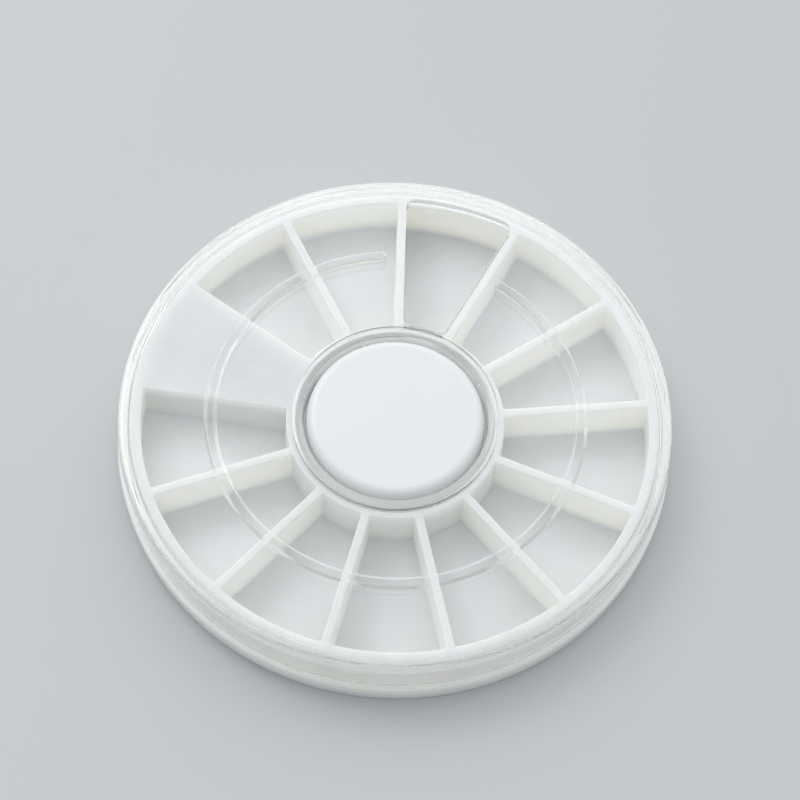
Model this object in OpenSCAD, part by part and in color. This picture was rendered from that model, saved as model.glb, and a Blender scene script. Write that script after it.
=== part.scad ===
// Round compartment wheel: a moulded tray of open cells under a clear turning
// lid, held by a snap-in button at the hub. Turning the lid carries its window
// from cell to cell; over the blank sector the window is shut.
// Millimetres, +Z up. The origin is the middle of the foot, and the cell that
// lies under the window is centred on +Y.

/* [Tray] */
// Diameter over the flange, the widest part of the wheel
tray_d = 60; // [50:0.5:80]
// Height of the tray up to the tops of its walls
tray_h = 6.35; // [5.8:0.05:9]
// Height of the flange that runs round the foot
flange_h = 2.8; // [2.2:0.05:3.2]
// How far the flange leans in from its top edge down to the foot
flange_draft = 0.25; // [0:0.05:0.5]
// Step of the flange that stays in sight outside the lid
ledge_w = 0.4; // [0.25:0.05:0.8]
// Thickness of the outer wall of the cells
rim_t = 1.1; // [0.8:0.05:1.6]
// Height of the top of the cell floors above the foot
floor_z = 1.2; // [1:0.05:1.6]
// Depth of the hollow under the floor, inside the foot ring
foot_recess = 0.3; // [0.2:0.05:0.4]
// Width of the flat foot ring
foot_w = 1.7; // [1.2:0.1:2.5]

/* [Cells] */
// Number of open cells; one more sector of the same size is left blank
cell_count = 12; // [8:1:14]
// Blank sector, counted anticlockwise from the cell on +Y
blank_place = 3; // [1:1:7]
// Thickness of the dividers between the cells
divider_t = 0.95; // [0.7:0.05:1.4]
// Radius of the upright corners of each cell
cell_corner = 0.25; // [0.2:0.05:1]
// Rounding along the top edges of the round walls
wall_edge = 0.15; // [0.1:0.05:0.3]
// Rounding along the top edges of the dividers
divider_edge = 0.1; // [0.1:0.05:0.3]
// Thickness of the skin over the hollow blank sector
blank_skin = 1.3; // [1:0.1:2]

/* [Hub] */
// Outer diameter of the ring wall round the hub
hub_d = 23.6; // [21:0.2:27]
// Thickness of the ring wall round the hub
hub_t = 0.7; // [0.6:0.05:1]
// Height of the hub's seat above the foot
seat_z = 3.2; // [3:0.05:3.6]
// Thickness of the hub's seat
seat_t = 1.5; // [1.2:0.05:1.8]
// Diameter of the snap socket through the seat
socket_d = 7; // [6:0.1:8]

/* [Lid] */
// Thickness of the lid's plate
lid_t = 1.3; // [1:0.05:1.8]
// Thickness of the lid's skirt
skirt_t = 0.8; // [0.6:0.05:1]
// How far the lid's upper rim stands out from its skirt
lip_out = 0.25; // [0.1:0.05:0.3]
// Height of the lid's upper rim, down from the top of the plate
lip_h = 1.9; // [1.6:0.1:2.4]
// Rounding of the lid's top edge
lid_edge = 0.6; // [0.3:0.05:0.8]
// Thickness of the collar wall that turns in the hub ring
collar_t = 1; // [0.8:0.05:1.2]
// How far the ring round the well lies below the plate
well_step = 0.15; // [0.05:0.05:0.3]
// Thickness of the flange at the foot of the well
well_floor_t = 1; // [0.8:0.05:1.2]
// Corner radius of the window
window_corner = 1; // [0.5:0.1:1.5]
// Land left between the hub ring's collar and the window
window_land = 0.45; // [0.3:0.05:1]
// How far the window overlaps the inner edge of the outer wall
window_lap = 0.1; // [0:0.05:0.3]

/* [Finger ridge] */
// Diameter of the ridge at the middle of its width
ridge_d = 39.9; // [34:0.1:46]
// Width of the ridge
ridge_w = 1.1; // [0.8:0.1:2]
// Height of the ridge above the plate
ridge_h = 0.3; // [0.2:0.05:0.5]
// Rounding of the ridge's top edges
ridge_edge = 0.2; // [0.1:0.05:0.2]
// Angle between the ridge's two ends, over the window
ridge_gap = 40; // [30:1:60]

/* [Hub cap] */
// Rounding of the cap's top edge
cap_edge = 1; // [0.5:0.1:1.2]
// Thickness of the cap's top
cap_t = 1.2; // [1:0.05:1.3]
// Thickness of the cap's skirt
cap_skirt_t = 1.2; // [1:0.05:1.5]
// Diameter of the cap's stem
stem_d = 9.8; // [9:0.1:11]
// Thickness of the snap legs
leg_t = 1.1; // [0.9:0.05:1.3]
// Number of snap legs
leg_count = 4; // [3:1:6]
// Width of the slots between the snap legs
leg_slot = 1; // [0.6:0.1:1.4]
// How far each snap leg hooks out under the seat
barb = 0.35; // [0.2:0.05:0.5]

/* [Clearances] */
// Running clearance of the collar in the hub ring
bearing_gap = 0.08; // [0.03:0.01:0.1]
// Gap between the lid's plate and the tops of the walls
plate_gap = 0.15; // [0.1:0.05:0.3]
// Gap between the lid's skirt and the outer wall
skirt_gap = 0.3; // [0.2:0.05:0.4]
// Gap between the foot of the skirt and the flange
ledge_gap = 0.2; // [0.1:0.05:0.4]
// Gap round the cap in the well
cap_gap = 0.45; // [0.3:0.05:0.6]
// End play of the well's flange, above it and below it
end_play = 0.12; // [0.05:0.01:0.2]
// Gap between the cap's stem and the lid
stem_gap = 0.3; // [0.2:0.05:0.4]
// Gap between the snap legs and their socket
snap_gap = 0.05; // [0.02:0.01:0.1]

/* [Hidden] */
$fn = 96;

// A length that carries a cut clear through a face
over = 1;
// Leads in at the ends of snap legs and sockets
lead_in = 0.4;
// How far one shape is sunk in another where their faces would only touch
relief = 0.02;
// How far the tops of the cell corners' fillets lie under the tops of the walls
fillet_drop = 0.25;
// How far the top of the blank sector lies under the tops of the walls
blank_drop = 0.03;
// Straight steps along a cell's ends, and round one of its corners
ring_steps = 12;
corner_steps = 5;
// Straight steps round the rounded edge of a wall
edge_steps = 3;

// Radii, from the flange inwards
tray_r = tray_d / 2;
foot_r = tray_r - flange_draft;
skirt_r = tray_r - ledge_w;
lid_r = skirt_r + lip_out;
skirt_in = skirt_r - skirt_t;
rim_r = skirt_in - skirt_gap;
rim_in = rim_r - rim_t;
hub_r = hub_d / 2;
hub_in = hub_r - hub_t;
collar_r = hub_in - bearing_gap;
collar_in = collar_r - collar_t;
cap_r = collar_in - cap_gap;
stem_r = stem_d / 2;
bore_r = stem_r + stem_gap;
socket_r = socket_d / 2;
leg_r = socket_r - snap_gap;
hollow_r = hub_in - hub_t;

// Heights, from the foot upwards
skirt_z = flange_h + ledge_gap;
well_z = seat_z + end_play;
well_top = well_z + well_floor_t;
cap_skirt_z = well_top + end_play;
plate_z = tray_h + plate_gap;
lid_z = plate_z + lid_t;
lip_z = lid_z - lip_h;
barb_z = seat_z - seat_t;
divider_z = floor_z - foot_recess;

// Sectors, each as wide as a cell and one divider
sector_count = cell_count + 1;
sector = 360 / sector_count;
first_cell = 90;
function sector_mid(k) = first_cell + k * sector;

function turn(p, a) = [
    p[0] * cos(a) - p[1] * sin(a),
    p[0] * sin(a) + p[1] * cos(a)
];
function mirrored(points) = [
    for (i = [len(points) - 1 : -1 : 0]) [points[i][0], -points[i][1]]
];
function arc(centre, r, from, to, steps) = [
    for (i = [0 : steps]) centre + turn([r, 0], from + (to - from) * i / steps)
];

// The slice of a ring between two radii, drawn round the X axis. Its sides run
// parallel to the edges of a sector, at a distance side inside them, and all
// four corners are rounded.
module cell_outline(r_in, r_out, side, corner) {
    half = sector / 2;
    inset = side + corner;
    core_in = r_in + corner;
    core_out = r_out - corner;
    // directions of the corner circles' centres, and their places
    dir_in = half - asin(inset / core_in);
    dir_out = half - asin(inset / core_out);
    centre_in = turn([core_in, 0], dir_in);
    centre_out = turn([core_out, 0], dir_out);
    flank = concat(
        arc(centre_out, corner, dir_out, half + 90, corner_steps),
        arc(centre_in, corner, half + 90, dir_in + 180, corner_steps)
    );
    polygon(concat(
        arc([0, 0], r_out, -dir_out, dir_out, ring_steps),
        flank,
        arc([0, 0], r_in, dir_in, -dir_in, ring_steps),
        mirrored(flank)
    ));
}

// Where a bar along the X axis ends in a round wall of radius r, the fillet in
// the corner between them: outside the wall with way 1, inside it with way -1.
// The outline is buried in the wall as far as the radius root.
module fillet_outline(r, way, root, width, corner) {
    orbit = r + way * (corner - relief);
    dir = asin((width / 2 - relief + corner) / orbit);
    centre = turn([orbit, 0], dir);
    hollow = arc(centre, corner, dir + 90 + way * 90, 90 + way * 180, corner_steps);
    polygon(concat(
        [[root, 0], [root, hollow[0][1]]],
        hollow,
        [[centre[0], 0]]
    ));
}

module ring_outline(r_in, r_out) {
    difference() {
        circle(r_out);
        circle(r_in);
    }
}

// The wedge within an angle either side of the X axis
module wedge_outline(half, reach) {
    polygon([[0, 0], turn([reach / cos(half), 0], -half), turn([reach / cos(half), 0], half)]);
}

// An upright bar's section with its two top corners rounded
module bar_section(x0, x1, z0, z1, edge) {
    polygon(concat(
        [[x0, z0], [x1, z0]],
        arc([x1 - edge, z1 - edge], edge, 0, 90, edge_steps),
        arc([x0 + edge, z1 - edge], edge, 90, 180, edge_steps)
    ));
}

// --- Tray -------------------------------------------------------------------

module tray_section() {
    foot_edge = 0.3;
    foot_in = foot_r - foot_edge - foot_w;
    rim_mid = rim_in + rim_t / 2;
    hub_mid = hub_r - hub_t / 2;
    // foot ring, flange and floor
    polygon([
        [hollow_r, foot_recess],
        [foot_in, foot_recess],
        [foot_in, 0],
        [foot_r - foot_edge, 0],
        [foot_r, foot_edge],
        [tray_r, flange_h],
        [rim_mid, flange_h],
        [rim_mid, floor_z],
        [hollow_r, floor_z]
    ]);
    bar_section(rim_in, rim_r, foot_recess, tray_h, wall_edge);
    bar_section(hub_in, hub_r, foot_recess, tray_h, wall_edge);
    // wall under the hub ring, and the seat across it
    translate([hollow_r, foot_recess])
        square([hub_mid - hollow_r, seat_z - foot_recess]);
    translate([socket_r, barb_z])
        square([hub_mid - socket_r, seat_t]);
}

// A divider on the X axis. Its ends are buried in the hub ring and the outer
// wall, and its foot in the floor.
module divider() {
    inner = hub_r - hub_t / 2;
    outer = rim_in + rim_t / 2;
    translate([inner, 0, 0])
        rotate([90, 0, 90])
            linear_extrude(outer - inner)
                bar_section(-divider_t / 2, divider_t / 2, divider_z, tray_h, divider_edge);
    for (flip = [0, 1])
        mirror([0, flip, 0])
            translate([0, 0, divider_z])
                linear_extrude(tray_h - fillet_drop - divider_z) {
                    fillet_outline(hub_r, 1, inner, divider_t, cell_corner);
                    fillet_outline(rim_in, -1, outer, divider_t, cell_corner);
                }
}

// The blank sector between two dividers, all but flush with their tops
module blank() {
    translate([0, 0, divider_z])
        linear_extrude(tray_h - blank_drop - divider_z)
            intersection() {
                ring_outline(hub_r - hub_t / 2, rim_in + rim_t / 2);
                wedge_outline(sector / 2, rim_r);
            }
}

// The hollow that opens downwards under the blank sector
module blank_hollow() {
    translate([0, 0, -over])
        linear_extrude(tray_h - blank_skin + over)
            cell_outline(hub_r, rim_in, divider_t / 2, cell_corner);
}

module tray() {
    color([0.92, 0.92, 0.89])
        difference() {
            union() {
                rotate_extrude()
                    tray_section();
                for (k = [0 : sector_count - 1])
                    rotate(sector_mid(k) + sector / 2)
                        divider();
                rotate(sector_mid(blank_place))
                    blank();
            }
            rotate(sector_mid(blank_place))
                blank_hollow();
        }
}

// --- Lid --------------------------------------------------------------------

module lid_section() {
    inner_fillet = 0.4;
    skirt_edge = 0.2;
    step_r = collar_r + bearing_gap;
    // plate, its rounded edge and the upper rim
    translate([step_r, plate_z])
        square([lid_r - lid_edge - step_r, lid_t]);
    translate([skirt_in, lip_z])
        square([lid_r - skirt_in, lid_z - lid_edge - lip_z]);
    translate([lid_r - lid_edge, lid_z - lid_edge])
        circle(lid_edge);
    // skirt, stepped in under the rim
    polygon([
        [skirt_in, skirt_z],
        [skirt_r - skirt_edge, skirt_z],
        [skirt_r, skirt_z + skirt_edge],
        [skirt_r, lip_z - lip_out],
        [lid_r, lip_z],
        [skirt_in, lip_z]
    ]);
    // fillet inside, where the skirt meets the plate
    difference() {
        translate([skirt_in - inner_fillet, plate_z - inner_fillet])
            square([inner_fillet, inner_fillet]);
        translate([skirt_in - inner_fillet, plate_z - inner_fillet])
            circle(inner_fillet);
    }
    // collar and the flange at the foot of the well
    translate([collar_in, well_z])
        square([collar_t, lid_z - well_step - well_z]);
    translate([collar_in, plate_z])
        square([step_r - collar_in, lid_t - well_step]);
    translate([bore_r, well_z])
        square([collar_in - bore_r, well_floor_t]);
}

module ridge_section(width) {
    bar_section(-width / 2, width / 2, lid_z - ridge_h, lid_z + ridge_h, ridge_edge);
}

// The C-shaped finger ridge, open over the window, with round ends
module ridge() {
    start = first_cell + ridge_gap / 2;
    rotate(start)
        rotate_extrude(angle = 360 - ridge_gap)
            translate([ridge_d / 2, 0])
                ridge_section(ridge_w);
    for (turn = [start, first_cell - ridge_gap / 2])
        rotate(turn)
            translate([ridge_d / 2, 0, 0])
                rotate_extrude()
                    intersection() {
                        ridge_section(ridge_w - 2 * relief);
                        square([ridge_w, lid_z + over]);
                    }
}

module lid() {
    color([0.86, 0.90, 0.94, 0.35])
        difference() {
            union() {
                rotate_extrude()
                    lid_section();
                ridge();
            }
            rotate(first_cell)
                translate([0, 0, plate_z - over])
                    linear_extrude(lid_t + 2 * over)
                        cell_outline(
                            collar_r + window_land,
                            rim_in + window_lap,
                            divider_t / 2,
                            window_corner
                        );
        }
}

// --- Hub cap ----------------------------------------------------------------

module cap_section() {
    leg_in = leg_r - leg_t;
    leg_z = foot_recess + snap_gap;
    hook_z = barb_z - snap_gap;
    // top, with its rounded edge, and the skirt round it
    translate([0, lid_z - cap_t])
        square([cap_r - cap_edge, cap_t]);
    translate([cap_r - cap_skirt_t, cap_skirt_z])
        square([cap_skirt_t, lid_z - cap_edge - cap_skirt_z]);
    translate([cap_r - cap_edge, lid_z - cap_edge])
        circle(cap_edge);
    // stem, standing on the seat, and the snap legs with their hooks
    polygon([
        [leg_in, leg_z],
        [leg_r - lead_in, leg_z],
        [leg_r + barb, hook_z - lead_in],
        [leg_r + barb, hook_z],
        [leg_r, hook_z],
        [leg_r, seat_z],
        [stem_r, seat_z],
        [stem_r, lid_z - cap_t / 2],
        [stem_r - leg_t, lid_z - cap_t / 2],
        [stem_r - leg_t, seat_z + leg_t],
        [leg_in, seat_z + leg_t]
    ]);
}

module hub_cap() {
    color([0.95, 0.96, 0.97])
        difference() {
            rotate_extrude()
                cap_section();
            for (k = [0 : leg_count - 1])
                rotate(k * 360 / leg_count)
                    translate([0, -leg_slot / 2, -over])
                        cube([leg_r + barb + over, leg_slot, seat_z + leg_t / 2 + over]);
        }
}

tray();
lid();
hub_cap();
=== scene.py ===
"""A round compartment wheel: a milky tray of cells, a clear turning lid and a white button."""

import math
from functools import partial

import bmesh
import bpy
import numpy as np
from mathutils import Matrix, Vector
from mathutils.geometry import delaunay_2d_cdt


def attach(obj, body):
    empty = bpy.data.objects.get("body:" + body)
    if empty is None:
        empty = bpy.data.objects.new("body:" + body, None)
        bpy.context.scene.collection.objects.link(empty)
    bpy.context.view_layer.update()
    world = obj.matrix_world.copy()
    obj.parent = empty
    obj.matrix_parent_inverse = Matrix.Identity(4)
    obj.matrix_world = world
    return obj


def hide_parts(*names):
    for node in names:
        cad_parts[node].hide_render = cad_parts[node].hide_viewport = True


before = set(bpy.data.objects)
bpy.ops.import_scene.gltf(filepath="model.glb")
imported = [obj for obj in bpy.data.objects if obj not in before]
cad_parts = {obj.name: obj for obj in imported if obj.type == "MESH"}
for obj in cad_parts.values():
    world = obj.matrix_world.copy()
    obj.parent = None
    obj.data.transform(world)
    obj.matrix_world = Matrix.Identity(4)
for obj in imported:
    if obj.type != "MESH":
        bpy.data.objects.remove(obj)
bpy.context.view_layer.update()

MM = 0.001

# --- Sizes of the CAD model, in millimetres and degrees ---------------------------------
# Tray
TRAY_R = 30.0  # flange, at its top
FOOT_R = 29.75  # flange, at the table
FOOT_IN = 27.75  # inside of the foot ring
TRAY_H = 6.35  # tops of the walls
FLANGE_H = 2.8
FLOOR_Z = 1.2  # floors of the cells
RECESS_Z = 0.3  # underside, inside the foot ring
RIM_R = 28.5  # outer wall, outside
RIM_IN = 27.4  # outer wall, inside
HUB_R = 11.8  # hub ring, outside
HUB_IN = 11.1  # hub ring, inside, where the lid's collar runs
HOLLOW_R = 10.4  # hollow under the hub
SOCKET_R = 3.5  # socket for the button's legs
LEAD_IN = 0.4  # bevel at the mouth of the socket
SEAT_Z = 3.2  # top of the seat round the socket
BARB_Z = 1.7  # underside of the seat
BLANK_SKIN = 1.3  # thickness of the top of the blank sector
DIVIDER_T = 0.95
CELL_CORNER = 0.25  # corners of a cell, from above
WALL_EDGE = 0.12  # rounding of the tops of the walls
SECTORS = 13
SECTOR = 360.0 / SECTORS
FIRST_CELL = 90.0  # direction of the first cell's middle, which is the window's too
BLANK_PLACE = 3  # the blank sector, counted from the first cell

# Lid
LID_R = 29.85  # edge of the plate, and the lip under it
LID_EDGE = 0.6  # rounding of the plate's upper edge
LID_Z = 7.8  # top of the plate
PLATE_Z = 6.5  # underside of the plate
LIP_Z = 5.9  # foot of the lip
LIP_OUT = 0.25  # how far the lip stands out from the skirt
SKIRT_R = 29.6  # skirt, outside
SKIRT_IN = 28.8  # skirt, inside
SKIRT_Z = 3.0  # foot of the skirt
INNER_FILLET = 0.4  # between the plate and the skirt
STEP_R = 11.1  # step round the top of the collar
WELL_STEP = 0.15  # how far the collar's top lies under the plate's
COLLAR_R = 11.02  # collar, outside
COLLAR_IN = 10.02  # collar, inside, which is the side of the well
WELL_TOP = 4.32  # floor of the well
WELL_Z = 3.32  # underside of the well
BORE_R = 5.2  # bore for the button's stem
WINDOW_IN = 11.47
WINDOW_OUT = 27.5
WINDOW_CORNER = 1.0
RIDGE_R = 19.95  # middle of the finger ridge
RIDGE_W = 1.1
RIDGE_H = 0.3
RIDGE_GAP = 40.0  # between the ends of the ridge

# --- Fineness of the meshes -------------------------------------------------------------
ROUND_STEPS = 576  # round a turned ring
EDGE_STEPS = 4  # round a small edge
FINE_STEPS = 2  # round the tightest edges
FILLET_STEPS = 6  # round the fillet inside the lid
WIDE_STEPS = 8  # round the widest edges
CORNER_STEPS = 8  # round a corner of a cell, from above
OUTER_STEPS, INNER_STEPS = 72, 48  # along the outer and the inner side of a cell
RIDGE_STEPS, RIDGE_END_STEPS = 220, 12  # along the ridge and round its ends
FLAT = 0.06  # flat strip beside a rounded edge, which keeps the shading even, in millimetres
SAME_POINT = 1e-7  # points of a flat face that are closer than this are one, in millimetres
MARGIN = 0.01  # slack where faces are told apart by their height, in millimetres
LEVEL = 0.95  # a face is flat where its normal's Z is more than this
AREA_WEIGHT = 100  # lets the largest face at a point set the shading there

# --- Light, camera and stage, in metres -------------------------------------------------
SKY_COLOUR = (0.965, 0.985, 1.0, 1)
# Brightness of the sky against the Z of the direction, 0 at the horizon and 1 overhead
SKY = [(0.0, 0.42), (0.4, 0.60), (0.7, 0.84), (0.85, 0.92), (1.0, 0.92)]
# Its gain towards the back, against the Y of the direction
BEHIND = {"From Min": 0.38, "From Max": 0.56, "To Min": 0.85, "To Max": 1.95}

LAMP_AT = Vector((-0.247, 0.115, 0.293))
LAMP_SIZE = 0.20
LAMP_POWER = 0.38  # watts

CAMERA_AT = Vector((0.039783, -0.180943, 0.350759))
CAMERA_AIM = Vector((-0.000977, 0.006215, 0.0))
CAMERA_ROLL = 3.596  # degrees
CAMERA_LENS, CAMERA_SENSOR = 163.16, 36.0  # millimetres
CAMERA_RANGE = 0.01, 20.0  # the nearest and the farthest that it sees

STAGE_SIZE = 6.0


# --- Outlines and profiles --------------------------------------------------------------
def arc(centre, r, start, end, steps):
    """Points of an arc in the plane, angles in degrees, both ends included."""
    angles = np.radians(np.linspace(start, end, steps + 1))
    return np.stack([centre[0] + r * np.cos(angles), centre[1] + r * np.sin(angles)], 1)


def circle(r):
    angles = np.arange(ROUND_STEPS) * math.tau / ROUND_STEPS
    return np.stack([r * np.cos(angles), r * np.sin(angles)], 1)


def turned(points, degrees):
    c, s = math.cos(math.radians(degrees)), math.sin(math.radians(degrees))
    return points @ np.array([[c, s], [-s, c]])


def polar(r, degrees):
    return turned(np.array([[r, 0.0]]), degrees)[0]


def wedge(r_in, r_out, corner, middle, grow):
    """The outline of a cell or of the window round its middle, grown outwards by a length."""
    half = SECTOR / 2
    inset = DIVIDER_T / 2 + corner
    core_in, core_out = r_in + corner, r_out - corner
    radius = corner + grow
    dir_in = half - math.degrees(math.asin(inset / core_in))
    dir_out = half - math.degrees(math.asin(inset / core_out))
    flank = np.concatenate([
        arc(polar(core_out, dir_out), radius, dir_out, half + 90, CORNER_STEPS),
        arc(polar(core_in, dir_in), radius, half + 90, dir_in + 180, CORNER_STEPS),
    ])
    mirrored = flank[::-1] * (1, -1)
    outer = arc((0, 0), r_out + grow, -dir_out, dir_out, OUTER_STEPS)[1:-1]
    inner = arc((0, 0), r_in - grow, dir_in, -dir_in, INNER_STEPS)[1:-1]
    return turned(np.concatenate([outer, flank, inner, mirrored]), middle)


def open_ring(grow):
    """The outline of the finger ridge: a ring with round ends, open over the window."""
    radius = RIDGE_W / 2 + grow
    start, end = FIRST_CELL + RIDGE_GAP / 2, FIRST_CELL + 360 - RIDGE_GAP / 2
    head, tail = polar(RIDGE_R, start), polar(RIDGE_R, end)
    return np.concatenate([
        arc((0, 0), RIDGE_R + radius, start, end, RIDGE_STEPS)[:-1],
        arc(tail, radius, end, end + 180, RIDGE_END_STEPS)[:-1],
        arc((0, 0), RIDGE_R - radius, end, start, RIDGE_STEPS)[:-1],
        arc(head, radius, start + 180, start + 360, RIDGE_END_STEPS)[:-1],
    ])


def rounded(r, z, size, start, end, steps=EDGE_STEPS):
    """Profile points (r, z) round an edge whose arc is centred at (r, z)."""
    return [tuple(p) for p in arc((r, z), size, start, end, steps)]


def within(point, polygon):
    """Whether a point lies in a polygon: a ray from it crosses an odd number of sides."""
    x, y = polygon[:, 0], polygon[:, 1]
    x2, y2 = np.roll(x, -1), np.roll(y, -1)
    crosses = (y > point.y) != (y2 > point.y)
    rise = np.where(crosses, y2 - y, 1.0)
    return bool((crosses & (point.x < x + (point.y - y) / rise * (x2 - x))).sum() % 2)


# --- Building closed meshes from rings of points ----------------------------------------
class Shell:
    """One closed surface, put together from rings of points. Lengths are in millimetres."""

    def __init__(self):
        self.points, self.faces = [], []

    def ring(self, outline, z):
        first = len(self.points)
        self.points += [(x, y, z) for x, y in outline]
        return list(range(first, first + len(outline)))

    def bands(self, rings):
        """Faces between each ring and the next."""
        for a, b in zip(rings, rings[1:]):
            for i in range(len(a)):
                j = (i + 1) % len(a)
                self.faces.append((a[i], a[j], b[j], b[i]))
        return rings

    def lathe(self, profile):
        return self.bands([self.ring(circle(r), z) for r, z in profile])

    def loft(self, outline, levels):
        """Rings of an outline at (grow, z) levels, joined by bands."""
        return self.bands([self.ring(outline(grow), z) for grow, z in levels])

    def fill(self, outer, holes=()):
        """Flat triangles between one outer ring and the rings inside it."""
        loops = [outer, *holes]
        flat = [Vector(self.points[i][:2]) for loop in loops for i in loop]
        index = [i for loop in loops for i in loop]
        edges, first = [], 0
        for loop in loops:
            edges += [(first + i, first + (i + 1) % len(loop)) for i in range(len(loop))]
            first += len(loop)
        triangles = delaunay_2d_cdt(flat, edges, [], 0, SAME_POINT)[2]
        polygons = [np.array([self.points[i][:2] for i in loop]) for loop in loops]
        for triangle in triangles:
            middle = sum((flat[i] for i in triangle), Vector((0, 0))) / 3
            inside = [within(middle, p) for p in polygons]
            if inside[0] and not any(inside[1:]):
                self.faces.append(tuple(index[i] for i in triangle))

    def piece(self, name, body, node, slot, materials):
        """The finished piece, which rides on a body and replaces a CAD node."""
        mesh = bpy.data.meshes.new(name)
        mesh.from_pydata([tuple(c * MM for c in p) for p in self.points], [], self.faces)
        bm = bmesh.new()
        bm.from_mesh(mesh)
        bmesh.ops.recalc_face_normals(bm, faces=bm.faces)
        bm.to_mesh(mesh)
        bm.free()
        for material in materials:
            mesh.materials.append(material)
        mesh.shade_smooth()
        piece = bpy.data.objects.new(name, mesh)
        bpy.context.scene.collection.objects.link(piece)
        keep_flats(piece).keep_sharp = True
        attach(piece, body)
        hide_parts(node)
        return piece


def keep_flats(piece):
    """Keeps the shading of wide flat faces flat up to their rounded edges."""
    flats = piece.modifiers.new("flat_faces", "WEIGHTED_NORMAL")
    flats.mode = "FACE_AREA"
    flats.weight = AREA_WEIGHT
    return flats


# --- Materials --------------------------------------------------------------------------
class Nodes:
    """A short way to write the node tree of a material or of the world."""

    def __init__(self, owner, output="ShaderNodeOutputMaterial"):
        self.owner = owner
        owner.use_nodes = True
        self.tree = owner.node_tree
        self.tree.nodes.clear()
        self.out = self.add(output)

    def add(self, kind, inputs=(), **settings):
        """A node. Each input is linked to a socket, or set to a plain number or colour."""
        node = self.tree.nodes.new(kind)
        for key, value in settings.items():
            setattr(node, key, value)
        for key, value in dict(inputs).items():
            if isinstance(value, bpy.types.NodeSocket):
                self.tree.links.new(value, node.inputs[key])
            else:
                node.inputs[key].default_value = value
        return node

    def place(self):
        return self.add("ShaderNodeTexCoord").outputs["Object"]

    def noise(self, scale, detail, at=None, roughness=0.5):
        inputs = {"Vector": at or self.place(), "Scale": scale, "Detail": detail}
        return self.add("ShaderNodeTexNoise", {**inputs, "Roughness": roughness}).outputs["Fac"]

    def ramp(self, value, stops):
        node = self.add("ShaderNodeValToRGB", {"Fac": value})
        elements = node.color_ramp.elements
        while len(elements) < len(stops):
            elements.new(0.5)
        for element, (position, colour) in zip(elements, stops):
            element.position = position
            element.color = colour
        return node.outputs["Color"]

    def curve(self, value, points):
        """A curve through (x, y) points. Blender starts it with two, for its ends."""
        node = self.add("ShaderNodeFloatCurve", {"Value": value})
        curve = node.mapping.curves[0]
        for end, at in zip(curve.points, (points[0], points[-1])):
            end.location = at
        for x, y in points[1:-1]:
            curve.points.new(x, y)
        node.mapping.use_clip = False
        node.mapping.update()
        return node.outputs[0]

    def span(self, value, source, target=(0.0, 1.0)):
        """Stretches one range of values, given as (low, high), over another."""
        inputs = {"Value": value, "From Min": source[0], "From Max": source[1]}
        inputs.update({"To Min": target[0], "To Max": target[1]})
        return self.add("ShaderNodeMapRange", inputs, clamp=True).outputs["Result"]

    def mix(self, factor, a, b, blend="MIX"):
        # A Mix node has its colours in inputs 6 and 7 and its mixed colour in output 2
        inputs = {0: factor, 6: a, 7: b}
        return self.add("ShaderNodeMix", inputs, data_type="RGBA", blend_type=blend).outputs[2]

    def maths(self, operation, a, b):
        return self.add("ShaderNodeMath", {0: a, 1: b}, operation=operation).outputs[0]

    def bump(self, height, distance, strength):
        inputs = {"Height": height, "Distance": distance, "Strength": strength}
        return self.add("ShaderNodeBump", inputs).outputs["Normal"]

    def principled(self, inputs):
        return self.add("ShaderNodeBsdfPrincipled", inputs).outputs["BSDF"]

    def finish(self, shader):
        self.tree.links.new(shader, self.out.inputs["Surface"])
        return self.owner


def milky_plastic():
    """Translucent white of the tray, with clouds and mould streaks, and light and shade painted
    by height: cooler, greyer floors, warm ivory walls and darker tops.
    """
    n = Nodes(bpy.data.materials.new("milky_plastic"))
    height = n.add("ShaderNodeSeparateXYZ", {"Vector": n.place()}).outputs["Z"]
    # Light and shade painted by height, though the tray is one plastic all over
    painted_light_by_height = n.ramp(
        n.span(height, (1.0 * MM, 6.4 * MM)),
        [
            (0.00, (0.924, 0.927, 0.932, 1)),  # floors: cooler and greyer, painted shade as if a dark ground showed through them
            (0.05, (0.932, 0.935, 0.940, 1)),
            (0.22, (0.985, 0.975, 0.890, 1)),  # walls: warm ivory, painted light standing for light passing through and between them
            (0.92, (0.985, 0.975, 0.905, 1)),
            (0.98, (0.760, 0.761, 0.765, 1)),  # their tops: darker grey, painted shade that offsets the light they catch
        ],
    )
    clouds = n.span(n.noise(scale=140.0, detail=4.0), (0.35, 0.65))
    colour = n.mix(clouds, painted_light_by_height, (0.918, 0.928, 0.926, 1), "MULTIPLY")
    # The mould streaks are noise squeezed sevenfold and turned by 0.7 radians
    stretched = n.add(
        "ShaderNodeMapping",
        {"Vector": n.place(), "Scale": (1.0, 7.0, 1.0), "Rotation": (0, 0, 0.7)},
    )
    streaks = n.noise(scale=260.0, detail=3.0, at=stretched.outputs["Vector"], roughness=0.6)
    streaks = n.span(streaks, (0.55, 0.75), (0.0, 0.25))
    colour = n.mix(streaks, colour, (0.86, 0.87, 0.86, 1))
    return n.finish(n.principled({
        "Base Color": colour,
        "Roughness": n.span(n.noise(scale=500.0, detail=3.0), (0.3, 0.7), (0.30, 0.42)),
        "IOR": 1.49,
        # Less light passes through the floors than through the walls
        "Subsurface Weight": n.span(height, (1.3 * MM, 2.4 * MM), (0.64, 1.0)),
        "Subsurface Radius": (1.0, 0.95, 0.8),
        "Subsurface Scale": 3.5 * MM,
        "Normal": n.bump(n.noise(scale=900.0, detail=3.0), distance=0.02 * MM, strength=0.6),
    }))


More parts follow.
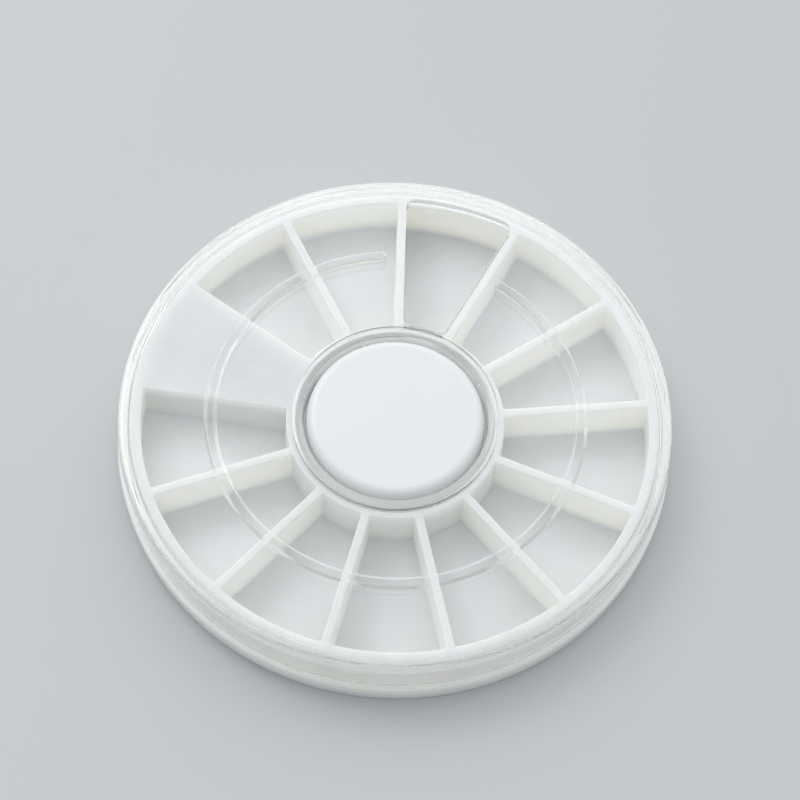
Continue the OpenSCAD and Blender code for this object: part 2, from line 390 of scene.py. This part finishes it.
def clear_plastic(name, clearness, roughness):
    """Clear polystyrene. Shadow and diffuse rays pass it, so light reaches what lies under."""
    n = Nodes(bpy.data.materials.new(name))
    glass = n.principled({
        "Base Color": (0.985, 0.99, 0.99, 1),
        "Roughness": n.span(n.noise(scale=700.0, detail=3.0), (0.45, 0.75), roughness),
        "IOR": 1.58,
        "Transmission Weight": clearness,
        "Normal": n.bump(n.noise(scale=60.0, detail=1.0), distance=0.01 * MM, strength=0.3),
    })
    passing = n.add("ShaderNodeBsdfTransparent", {"Color": (0.98, 0.985, 0.985, 1)})
    path = n.add("ShaderNodeLightPath").outputs
    lighting = n.maths("MAXIMUM", path["Is Shadow Ray"], path["Is Diffuse Ray"])
    mixed = n.add("ShaderNodeMixShader", {0: lighting, 1: glass, 2: passing.outputs[0]})
    return n.finish(mixed.outputs[0])


def white_plastic():
    """Glossy opaque white of the button, with a barely uneven face."""
    n = Nodes(bpy.data.materials.new("white_plastic"))
    clouds = n.span(n.noise(scale=90.0, detail=1.0), (0.2, 0.8))
    return n.finish(n.principled({
        "Base Color": n.mix(clouds, (0.818, 0.826, 0.840, 1), (0.824, 0.831, 0.845, 1)),
        "Roughness": n.span(n.noise(scale=200.0, detail=1.0), (0.2, 0.8), (0.29, 0.33)),
        "IOR": 1.5,
        "Subsurface Weight": 0.15,
        "Subsurface Radius": (1.0, 1.0, 1.0),
        "Subsurface Scale": 0.8 * MM,
        "Normal": n.bump(n.noise(scale=110.0, detail=1.0), distance=0.01 * MM, strength=0.5),
    }))


def pale_floor():
    n = Nodes(bpy.data.materials.new("pale_floor"))
    clouds = n.noise(scale=3.0, detail=4.0)
    colour = n.mix(clouds, (0.57, 0.58, 0.59, 1), (0.60, 0.61, 0.62, 1))
    return n.finish(n.principled({"Base Color": colour, "Roughness": 0.75}))


# --- Tray -------------------------------------------------------------------------------
def make_tray():
    shell = Shell()
    # Rounding of its edges, and of the foot of the walls
    foot_edge, foot_round, flange_edge, rim_fillet = 0.3, 0.1, 0.15, 0.2
    hollow_edge, cove = 0.2, 0.16
    outside = shell.lathe(
        [(RIM_R - WALL_EDGE - FLAT, TRAY_H)]
        + rounded(RIM_R - WALL_EDGE, TRAY_H - WALL_EDGE, WALL_EDGE, 90, 0)
        + rounded(RIM_R + rim_fillet, FLANGE_H + rim_fillet, rim_fillet, 180, 270)
        + rounded(TRAY_R - flange_edge, FLANGE_H - flange_edge, flange_edge, 90, 0)
        + rounded(FOOT_R - foot_edge, foot_edge, foot_edge, 0, -90)
        + rounded(FOOT_IN + foot_round, foot_round, foot_round, 270, 180)
        + [(FOOT_IN, RECESS_Z)]
    )
    inside = shell.lathe(
        [(HOLLOW_R, RECESS_Z), (HOLLOW_R, BARB_Z - hollow_edge)]
        + rounded(HOLLOW_R - hollow_edge, BARB_Z - hollow_edge, hollow_edge, 0, 90)
        + [(SOCKET_R + LEAD_IN / 2, BARB_Z), (SOCKET_R, BARB_Z + LEAD_IN / 2)]
        + [(SOCKET_R, SEAT_Z - LEAD_IN), (SOCKET_R + LEAD_IN, SEAT_Z), (HUB_IN, SEAT_Z)]
        + rounded(HUB_IN + WALL_EDGE, TRAY_H - WALL_EDGE, WALL_EDGE, 180, 90)
        + [(HUB_IN + WALL_EDGE + FLAT, TRAY_H)]
    )
    wall_top = rounded(WALL_EDGE, TRAY_H - WALL_EDGE, WALL_EDGE, 90, 180)
    wall_foot = rounded(-cove, FLOOR_Z + cove, cove, 0, -90)
    mouths = []
    for k in range(SECTORS):
        cell = partial(wedge, HUB_R, RIM_IN, CELL_CORNER, FIRST_CELL + k * SECTOR)
        if k == BLANK_PLACE:
            # The blank sector is closed above and hollow below
            core = shell.loft(cell, [(0, RECESS_Z), (0, TRAY_H - BLANK_SKIN)])
            shell.fill(outside[-1], [core[0], inside[0]])
            shell.fill(core[-1])
            continue
        walls = shell.loft(
            cell,
            [(WALL_EDGE + FLAT, TRAY_H), *wall_top, *wall_foot, (-cove - FLAT, FLOOR_Z)],
        )
        shell.fill(walls[-1])
        mouths.append(walls[0])
    shell.fill(outside[0], [*mouths, inside[-1]])
    shell.piece("tray_moulding", "base", "tray", "tray_plastic", [milky_plastic()])


# --- Lid --------------------------------------------------------------------------------
def make_lid():
    shell = Shell()
    tight, soft = 0.06, 0.12  # rounding of its edges
    collar_top = LID_Z - WELL_STEP
    outside = shell.lathe(
        [(SKIRT_IN, LID_Z)]
        + rounded(LID_R - LID_EDGE, LID_Z - LID_EDGE, LID_EDGE, 90, 0, WIDE_STEPS)
        + rounded(LID_R - tight, LIP_Z + tight, tight, 0, -90, FINE_STEPS)
        + [(SKIRT_R, LIP_Z - LIP_OUT)]
        + rounded(SKIRT_R - soft, SKIRT_Z + soft, soft, 0, -90)
        + rounded(SKIRT_IN + soft, SKIRT_Z + soft, soft, 270, 180)
        + rounded(
            SKIRT_IN - INNER_FILLET, PLATE_Z - INNER_FILLET, INNER_FILLET, 0, 90, FILLET_STEPS
        )
        + [(SKIRT_IN - INNER_FILLET - FLAT, PLATE_Z)]
    )
    inside = shell.lathe(
        [(STEP_R + tight + FLAT, LID_Z)]
        + rounded(STEP_R + tight, LID_Z - tight, tight, 90, 180, FINE_STEPS)
        + [(STEP_R, collar_top)]
        + rounded(COLLAR_IN + soft, collar_top - soft, soft, 90, 180)
        + rounded(COLLAR_IN - soft, WELL_TOP + soft, soft, 0, -90)
        + rounded(BORE_R + soft, WELL_TOP - soft, soft, 90, 180)
        + rounded(BORE_R + tight, WELL_Z + tight, tight, 180, 270, FINE_STEPS)
        + rounded(COLLAR_R - soft, WELL_Z + soft, soft, -90, 0)
        + rounded(COLLAR_R + soft, PLATE_Z - soft, soft, 180, 90)
        + [(COLLAR_R + soft + FLAT, PLATE_Z)]
    )
    first_flank = len(shell.faces)
    opening = shell.loft(
        partial(wedge, WINDOW_IN, WINDOW_OUT, WINDOW_CORNER, FIRST_CELL),
        [(soft + FLAT, LID_Z)]
        + rounded(soft, LID_Z - soft, soft, 90, 180)
        + rounded(tight, PLATE_Z + tight, tight, 180, 270, FINE_STEPS)
        + [(tight + FLAT, PLATE_Z)],
    )
    # The sides of the ridge: a small cove at the foot, a slope and a rounded shoulder. The
    # centres of the two arcs are given outwards from the ridge's side.
    cove, cove_at, shoulder_at = 0.1, 0.192, -0.274
    ridge = shell.loft(
        open_ring,
        [(cove_at + FLAT, LID_Z)]
        + rounded(cove_at, LID_Z + cove, cove, 270, 225)
        + rounded(shoulder_at, LID_Z, RIDGE_H, 45, 90, WIDE_STEPS)
        + [(shoulder_at - FLAT, LID_Z + RIDGE_H)],
    )
    flanks = range(first_flank, len(shell.faces))
    shell.fill(ridge[-1])
    shell.fill(outside[0], [inside[0], opening[0], ridge[0]])
    shell.fill(outside[-1], [inside[-1], opening[-1]])

    materials = [
        clear_plastic("clear_plastic", clearness=1.0, roughness=(0.0, 0.02)),
        clear_plastic("collar_plastic", clearness=0.68, roughness=(0.10, 0.30)),
        clear_plastic("skirt_plastic", clearness=0.75, roughness=(0.0, 0.03)),
        clear_plastic("ridge_plastic", clearness=0.75, roughness=(0.05, 0.15)),
    ]
    collar, skirt, flank = 1, 2, 3  # places in that list
    lid = shell.piece("lid_moulding", "lid", "lid", "lid_plastic", materials)
    for face in lid.data.polygons:
        middle = face.center / MM
        reach = math.hypot(middle.x, middle.y)
        if reach < STEP_R and middle.z < collar_top + MARGIN:
            face.material_index = collar
        elif reach > SKIRT_IN:
            face.material_index = skirt
        elif face.index in flanks and abs(face.normal.z) < LEVEL:
            face.material_index = flank


# --- Button -----------------------------------------------------------------------------
def dress_button():
    """The button is the CAD node itself, with its loose facets joined and a new material."""
    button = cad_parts["hub_cap"]
    button.data.materials.clear()
    button.data.materials.append(white_plastic())
    button.modifiers.new("weld", "WELD").merge_threshold = 0.001 * MM
    keep_flats(button)


# --- Stage, light and camera ------------------------------------------------------------
def make_stage():
    bpy.ops.mesh.primitive_plane_add(size=STAGE_SIZE)
    floor = bpy.context.object
    floor.name = "floor"
    floor.data.materials.append(pale_floor())


def make_world():
    """A soft white sky: bright overhead, brightest behind the part, dim at the horizon."""
    n = Nodes(bpy.data.worlds.new("studio"), "ShaderNodeOutputWorld")
    direction = n.add("ShaderNodeTexCoord").outputs["Generated"]
    way = n.add("ShaderNodeSeparateXYZ", {"Vector": direction}).outputs
    sky = n.curve(way["Z"], SKY)
    gain = n.add(
        "ShaderNodeMapRange",
        {"Value": way["Y"], **BEHIND},
        interpolation_type="SMOOTHSTEP",
    )
    strength = n.maths("MULTIPLY", sky, gain.outputs["Result"])
    background = n.add("ShaderNodeBackground", {"Color": SKY_COLOUR, "Strength": strength})
    bpy.context.scene.world = n.finish(background.outputs[0])


def make_lamp():
    """One large soft lamp, where the flat lid doesn't mirror it to the camera."""
    data = bpy.data.lights.new("key", "AREA")
    data.shape = "SQUARE"
    data.size = LAMP_SIZE
    data.energy = LAMP_POWER
    lamp = bpy.data.objects.new("key", data)
    lamp.location = LAMP_AT
    lamp.rotation_euler = (-LAMP_AT).to_track_quat("-Z", "Y").to_euler()
    bpy.context.scene.collection.objects.link(lamp)


def make_camera():
    data = bpy.data.cameras.new("camera")
    data.sensor_width = CAMERA_SENSOR
    data.lens = CAMERA_LENS
    data.clip_start, data.clip_end = CAMERA_RANGE
    camera = bpy.data.objects.new("camera", data)
    look = (CAMERA_AIM - CAMERA_AT).to_track_quat("-Z", "Y").to_matrix()
    roll = Matrix.Rotation(math.radians(CAMERA_ROLL), 3, Vector((0, 0, 1)))
    camera.rotation_mode = "QUATERNION"
    camera.rotation_quaternion = (look @ roll).to_quaternion()
    camera.location = CAMERA_AT
    bpy.context.scene.collection.objects.link(camera)
    bpy.context.scene.camera = camera


make_camera()
make_stage()
make_world()
make_lamp()
make_tray()
make_lid()
dress_button()

bpy.context.scene.view_settings.view_transform = "Standard"

bpy.context.view_layer.update()
